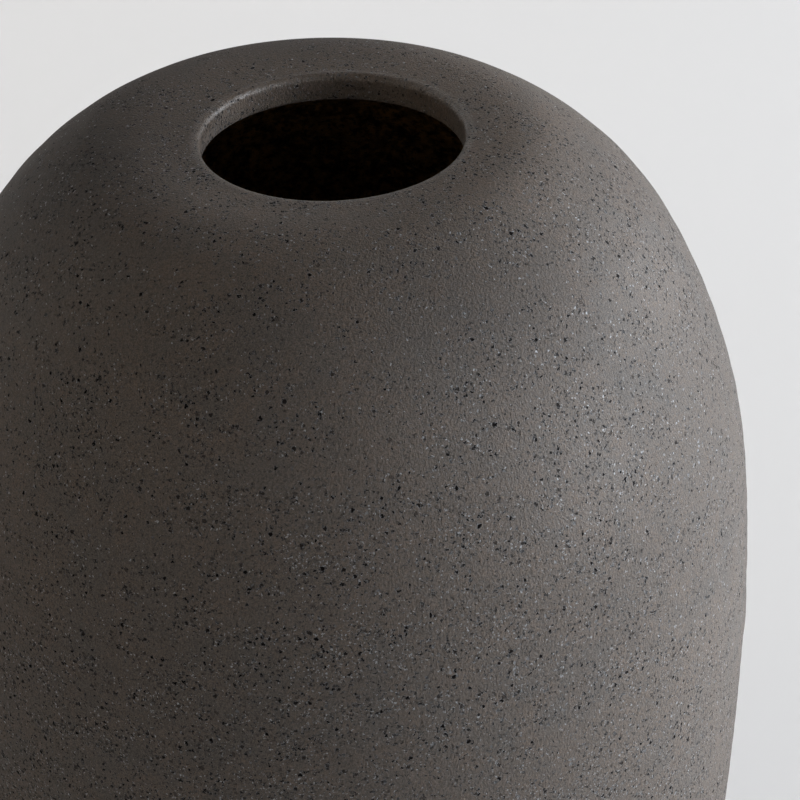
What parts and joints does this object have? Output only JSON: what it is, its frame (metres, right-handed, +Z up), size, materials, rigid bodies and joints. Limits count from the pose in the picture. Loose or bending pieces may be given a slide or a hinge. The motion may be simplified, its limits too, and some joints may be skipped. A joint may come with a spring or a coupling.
{
  "type": "vase",
  "caption": "Tall dome-shaped stoneware vase with a small round mouth, dark speckled bare clay outside and dark glaze inside.",
  "frame": {"origin": "on the pot's axis, at the surface the pads stand on", "axes": "+Z up along the pot's axis and out of its mouth; +X to the right and +Y away in the pictured view"},
  "size_m": [0.24, 0.24, 0.3],
  "materials": {
    "clay": "matte",
    "slip": "matte",
    "glaze": "gloss",
    "pad": "matte"
  },
  "bodies": {
    "root": {"lower_body": "clay", "upper_body": "clay", "joint_slip": "slip", "liner_glaze": "glaze", "foot_pads": "pad"}
  },
  "joints": []
}
